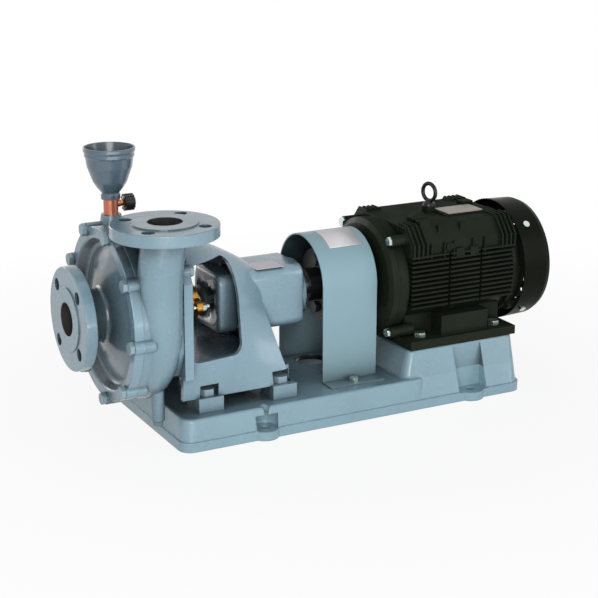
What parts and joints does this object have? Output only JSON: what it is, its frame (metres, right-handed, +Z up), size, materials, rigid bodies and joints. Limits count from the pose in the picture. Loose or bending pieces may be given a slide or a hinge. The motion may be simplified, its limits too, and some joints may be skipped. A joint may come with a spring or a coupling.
{
  "type": "end-suction centrifugal pump set",
  "caption": "Horizontal end-suction centrifugal pump with bearing bracket, guarded pin coupling and finned motor on a cast bedplate, with a priming funnel.",
  "frame": {"origin": "centre of the foundation bolt rectangle at floor level", "axes": "+X along the shaft from the suction flange to the motor, -Y is the discharge side, +Z up"},
  "size_m": [0.799, 0.3465, 0.431],
  "materials": {
    "pump_paint": "gloss",
    "motor_paint": "satin",
    "bright_steel": "machined",
    "zinc_steel": "zinc plated",
    "bare_iron": "machined",
    "gasket": "matte",
    "bronze": "cast",
    "packing": "braided",
    "black_rubber": "matte",
    "black_steel": "black oxide",
    "guard_paint": "gloss",
    "copper_wire": "varnished copper",
    "fan_plastic": "moulded",
    "plate_metal": "bare plate",
    "funnel_paint": "gloss",
    "copper_pipe": "copper",
    "brass": "polished",
    "knob_plastic": "moulded"
  },
  "bodies": {
    "base": {"bedplate": "pump_paint", "volute_casing": "pump_paint", "suction_cover": "pump_paint", "cover_gasket": "gasket", "cover_bolts": "pump_paint", "wear_ring": "bronze", "packing_rings": "packing", "packing_gland": "bronze", "gland_studs": "zinc_steel", "bearing_bracket": "pump_paint", "pump_bearing_outer_rings": "bright_steel", "front_bearing_cover": "pump_paint", "rear_bearing_cover": "pump_paint", "bearing_cover_bolts": "black_steel", "bracket_bolts": "pump_paint", "pump_foot_bolts": "pump_paint", "coupling_guard": "guard_paint", "guard_bolts": "zinc_steel", "motor_frame": "motor_paint", "drive_end_shield": "motor_paint", "fan_end_shield": "motor_paint", "stator_core": "bare_iron", "stator_windings": "copper_wire", "motor_bearing_outer_rings": "bright_steel", "fan_cowl": "motor_paint", "cowl_screws": "zinc_steel", "end_shield_bolts": "zinc_steel", "motor_foot_bolts": "zinc_steel", "eye_bolt": "black_steel", "motor_nameplate": "plate_metal", "terminal_box": "motor_paint", "terminal_box_lid": "motor_paint", "priming_funnel": "funnel_paint", "priming_nipple": "copper_pipe", "casing_drain_plug": "pump_paint"},
    "pump_rotor": {"impeller": "bronze", "impeller_nut": "bright_steel", "impeller_key": "bright_steel", "pump_shaft": "bright_steel", "shaft_sleeve": "bright_steel", "water_deflector": "black_rubber", "pump_bearing_inner_rings": "bright_steel", "pump_bearing_balls": "bright_steel", "pump_coupling_half": "bare_iron", "coupling_pins": "bright_steel", "pump_coupling_key": "bright_steel"},
    "motor_rotor": {"rotor_core": "bare_iron", "motor_shaft": "bright_steel", "motor_bearing_inner_rings": "bright_steel", "motor_bearing_balls": "bright_steel", "cooling_fan": "fan_plastic", "motor_coupling_half": "bare_iron", "coupling_bushes": "black_rubber", "motor_coupling_key": "bright_steel"},
    "cock_spindle": {"vent_cock_stem": "brass", "vent_cock_knob": "knob_plastic"}
  },
  "joints": [
    {"name": "motor_spin", "type": "hinge", "parent": "base", "child": "motor_rotor", "pos_m": [0.154, 0, 0.188], "axis": [1, 0, 0], "continuous": true},
    {"name": "pump_spin", "type": "hinge", "parent": "base", "child": "pump_rotor", "pos_m": [-0.146, 0, 0.188], "axis": [1, 0, 0], "continuous": true},
    {"name": "cock_turn", "type": "hinge", "parent": "base", "child": "cock_spindle", "pos_m": [-0.342, 0.026, 0.346], "axis": [1, 0, 0], "range_deg": [0, 360]}
  ],
  "couplings": [
    {"joint": "pump_spin", "follows": "motor_spin", "ratio": 1}
  ]
}
